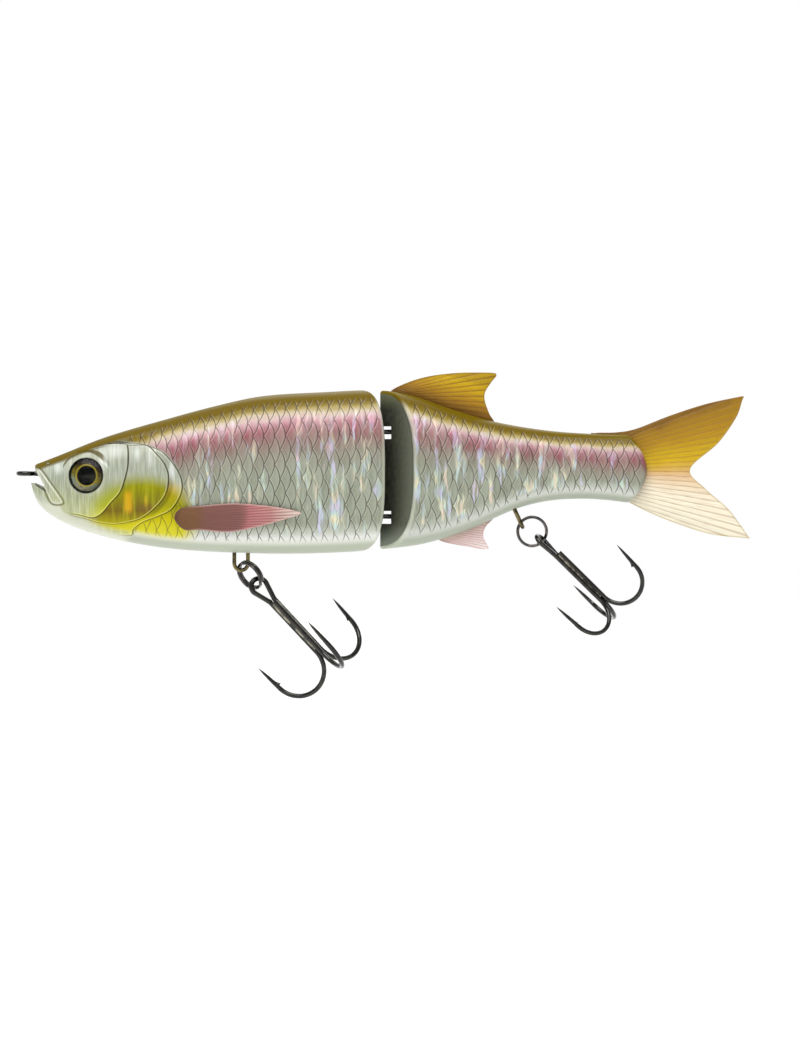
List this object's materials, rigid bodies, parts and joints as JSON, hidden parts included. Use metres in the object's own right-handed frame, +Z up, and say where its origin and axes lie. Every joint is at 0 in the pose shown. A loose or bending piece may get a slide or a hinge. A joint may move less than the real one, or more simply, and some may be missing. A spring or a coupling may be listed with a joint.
{
  "type": "two-section jointed swimbait",
  "caption": "Hard-bodied fish lure with a pinned tail section, a towing eye at the snout, soft fins and treble hooks hung on split rings under the belly and tail.",
  "frame": {"origin": "centre of the line-tie eye at the snout, on the fish's centre plane", "axes": "+X from the snout to the tail, +Y to the fish's right-hand side, +Z up towards its back"},
  "size_m": [0.1834, 0.0281, 0.0817],
  "materials": {
    "painted_shell": "metallic foil paint under clear gloss",
    "black_nickel": "black nickel plate",
    "ballast_metal": "dull cast metal",
    "pin_steel": "drawn steel",
    "eye_print": "printed foil disc",
    "clear_resin": "clear polished resin",
    "pink_fin": "translucent soft plastic",
    "olive_fin": "translucent soft plastic",
    "amber_fin": "translucent soft plastic"
  },
  "bodies": {
    "front_section": {"front_shell_left": "painted_shell", "front_shell_right": "painted_shell", "line_tie_wire": "black_nickel", "belly_hanger_wire": "black_nickel", "upper_hinge_eye": "black_nickel", "lower_hinge_eye": "black_nickel", "forward_ballast": "ballast_metal", "belly_ballast": "ballast_metal", "left_eye_disc": "eye_print", "right_eye_disc": "eye_print", "left_eye_dome": "clear_resin", "right_eye_dome": "clear_resin", "left_pectoral_fin": "pink_fin", "right_pectoral_fin": "pink_fin"},
    "rear_section": {"rear_shell_left": "painted_shell", "rear_shell_right": "painted_shell", "hinge_pin": "pin_steel", "tail_hanger_wire": "black_nickel", "rear_ballast": "ballast_metal", "tail_fin": "amber_fin", "dorsal_fin": "olive_fin", "anal_fin": "pink_fin"},
    "belly_ring": {"belly_split_ring": "black_nickel"},
    "belly_treble": {"belly_double_hook": "black_nickel", "belly_single_hook": "black_nickel"},
    "tail_ring": {"tail_split_ring": "black_nickel"},
    "tail_treble": {"tail_double_hook": "black_nickel", "tail_single_hook": "black_nickel"}
  },
  "joints": [
    {"name": "tail_section_swing", "type": "hinge", "parent": "front_section", "child": "rear_section", "pos_m": [0.0929, 0, 0], "axis": [0, 0, 1], "range_deg": [-32, 32]},
    {"name": "belly_ring_swing", "type": "hinge", "parent": "front_section", "child": "belly_ring", "pos_m": [0.0538, 0, -0.02245], "axis": [0, 1, 0], "range_deg": [-12, 70]},
    {"name": "belly_treble_swing", "type": "hinge", "parent": "belly_ring", "child": "belly_treble", "pos_m": [0.05829, 0, -0.0282], "axis": [-0.4851, 0.788, -0.379], "range_deg": [-30, 30]},
    {"name": "tail_ring_swing", "type": "hinge", "parent": "rear_section", "child": "tail_ring", "pos_m": [0.12417, 0, -0.01344], "axis": [0, 1, 0], "range_deg": [-12, 65]},
    {"name": "tail_treble_swing", "type": "hinge", "parent": "tail_ring", "child": "tail_treble", "pos_m": [0.12908, 0, -0.017], "axis": [0.7022, 0, 0.712], "range_deg": [-35, 35]}
  ]
}
